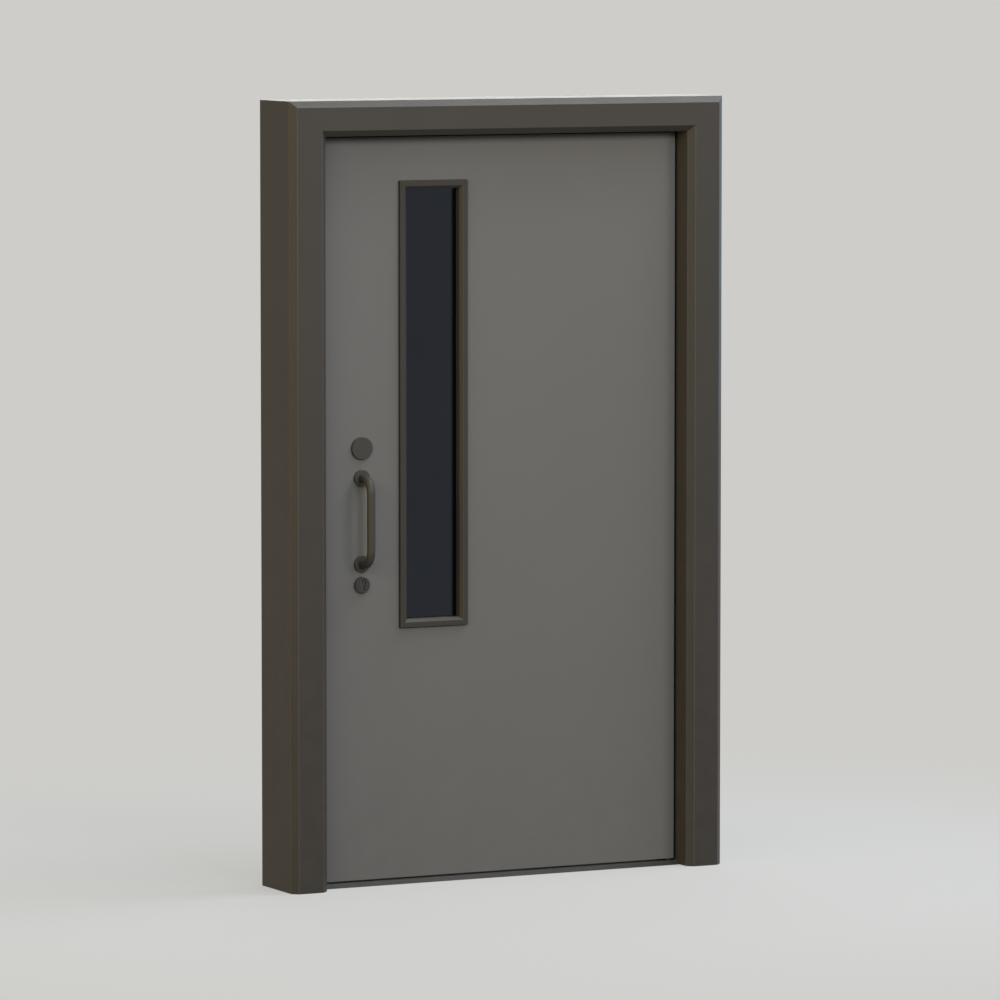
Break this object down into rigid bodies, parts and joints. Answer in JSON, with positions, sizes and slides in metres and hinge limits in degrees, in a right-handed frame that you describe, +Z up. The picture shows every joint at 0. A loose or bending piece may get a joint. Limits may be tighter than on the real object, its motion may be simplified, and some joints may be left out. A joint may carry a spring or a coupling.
{
  "type": "single-leaf door in a bevelled frame with a vision panel",
  "caption": "Single-leaf flush door in a deep bevelled frame, with a tall glazed slot beside D-shaped pull handles on round roses.",
  "frame": {"origin": "underside of the threshold, at the middle of the doorway and of the frame's depth", "axes": "+X along the width from the lock jamb to the pivot jamb, +Y from the pull face towards the back, +Z up"},
  "size_m": [1.333, 0.204, 2.16],
  "materials": {
    "frame_paint": "satin paint",
    "leaf_paint": "satin painted timber",
    "bead_paint": "satin paint",
    "hardware": "satin coating",
    "threshold_metal": "satin paint",
    "edge_seal": "matte",
    "steel": "satin",
    "cylinder_metal": "satin",
    "glass": "clear",
    "rubber": "matte"
  },
  "bodies": {
    "frame": {"jamb_left": "frame_paint", "jamb_right": "frame_paint", "head": "frame_paint", "threshold": "threshold_metal", "stop_left": "frame_paint", "stop_right": "frame_paint", "stop_head": "frame_paint", "seal_left": "edge_seal", "seal_right": "edge_seal", "seal_head": "edge_seal", "strike_plate": "steel", "pivot_base_bottom": "steel", "pivot_base_top": "steel"},
    "leaf": {"door_leaf": "leaf_paint", "lipping_lock": "leaf_paint", "lipping_hinge": "leaf_paint", "drop_seal": "rubber", "glass_pane": "glass", "gasket_front": "rubber", "gasket_back": "rubber", "pivot_shoe_bottom": "steel", "pivot_shoe_top": "steel", "lock_case": "steel", "lock_bolt": "steel", "lock_cylinder": "cylinder_metal", "bead_top_front": "bead_paint", "bead_bottom_front": "bead_paint", "bead_left_front": "bead_paint", "bead_right_front": "bead_paint", "cover_disc_front": "hardware", "rose_upper_front": "hardware", "rose_lower_front": "hardware", "pull_bar_front": "hardware", "escutcheon_front": "hardware", "bead_top_back": "bead_paint", "bead_bottom_back": "bead_paint", "bead_left_back": "bead_paint", "bead_right_back": "bead_paint", "cover_disc_back": "hardware", "rose_upper_back": "hardware", "rose_lower_back": "hardware", "pull_bar_back": "hardware", "escutcheon_back": "hardware"}
  },
  "joints": [
    {"name": "leaf_swing", "type": "hinge", "parent": "frame", "child": "leaf", "pos_m": [0.5355, -0.02, 1.03], "axis": [0, 0, 1], "range_deg": [0, 90]}
  ]
}
